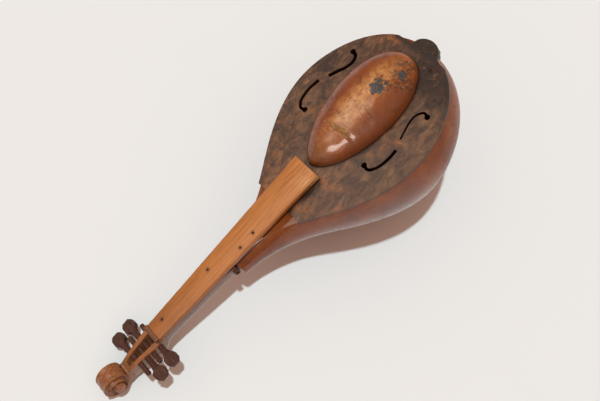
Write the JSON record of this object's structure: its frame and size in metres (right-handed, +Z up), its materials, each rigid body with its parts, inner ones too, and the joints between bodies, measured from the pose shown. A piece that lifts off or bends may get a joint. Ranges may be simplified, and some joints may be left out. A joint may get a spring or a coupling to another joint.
{
  "type": "gourd-bodied mandolin",
  "caption": "Gourd-bodied string instrument with a flat belly, raised dome, C-shaped sound slots, fretless fingerboard, pegbox with friction pegs and a scroll",
  "frame": {"origin": "on the ground under the middle of the bounding box of the instrument at rest", "axes": "+Y from the scroll towards the tail, +X the instrument's right-hand side, +Z up; the belly is tilted, with the tail raised and the left side lowered, as it lies on its gourd and scroll"},
  "size_m": [0.215, 0.5624, 0.1856],
  "materials": {
    "lacquered_gourd": "glossy orange-brown lacquer",
    "dark_wood": "dark stain, satin, mottled",
    "honey_wood": "honey-brown, satin, worn",
    "neck_wood": "brown varnish, glossy",
    "scroll_wood": "orange-brown varnish",
    "peg_wood": "dark reddish brown, matt",
    "plain_wood": "unfinished",
    "filler": "rough grey-brown packing",
    "iron": "dark, dull"
  },
  "bodies": {
    "instrument": {"belly_dome": "lacquered_gourd", "belly_nail": "iron", "belly_plate": "dark_wood", "board_nail_1": "iron", "board_nail_2": "iron", "board_nail_3": "iron", "board_nail_4": "iron", "dome_lining": "plain_wood", "end_pin": "peg_wood", "fingerboard": "honey_wood", "gourd_bowl": "lacquered_gourd", "heel_dowel": "peg_wood", "heel_filler": "filler", "neck": "neck_wood", "neck_block": "lacquered_gourd", "nut": "dark_wood", "scroll": "scroll_wood", "tail_block": "plain_wood", "tail_knob": "dark_wood"},
    "peg_1": {"peg_1": "peg_wood"},
    "peg_2": {"peg_2": "peg_wood"},
    "peg_3": {"peg_3": "peg_wood"},
    "peg_4": {"peg_4": "peg_wood"}
  },
  "joints": [
    {"name": "peg_1_turn", "type": "hinge", "parent": "instrument", "child": "peg_1", "pos_m": [0.02215, -0.19606, 0.03888], "axis": [0.9501, 0.0419, 0.3092], "continuous": true},
    {"name": "peg_2_turn", "type": "hinge", "parent": "instrument", "child": "peg_2", "pos_m": [0.02311, -0.20711, 0.03581], "axis": [-0.9501, -0.0419, -0.3092], "continuous": true},
    {"name": "peg_3_turn", "type": "hinge", "parent": "instrument", "child": "peg_3", "pos_m": [0.02389, -0.21613, 0.03331], "axis": [0.9501, 0.0419, 0.3092], "continuous": true},
    {"name": "peg_4_turn", "type": "hinge", "parent": "instrument", "child": "peg_4", "pos_m": [0.02479, -0.2266, 0.03041], "axis": [-0.9501, -0.0419, -0.3092], "continuous": true}
  ]
}
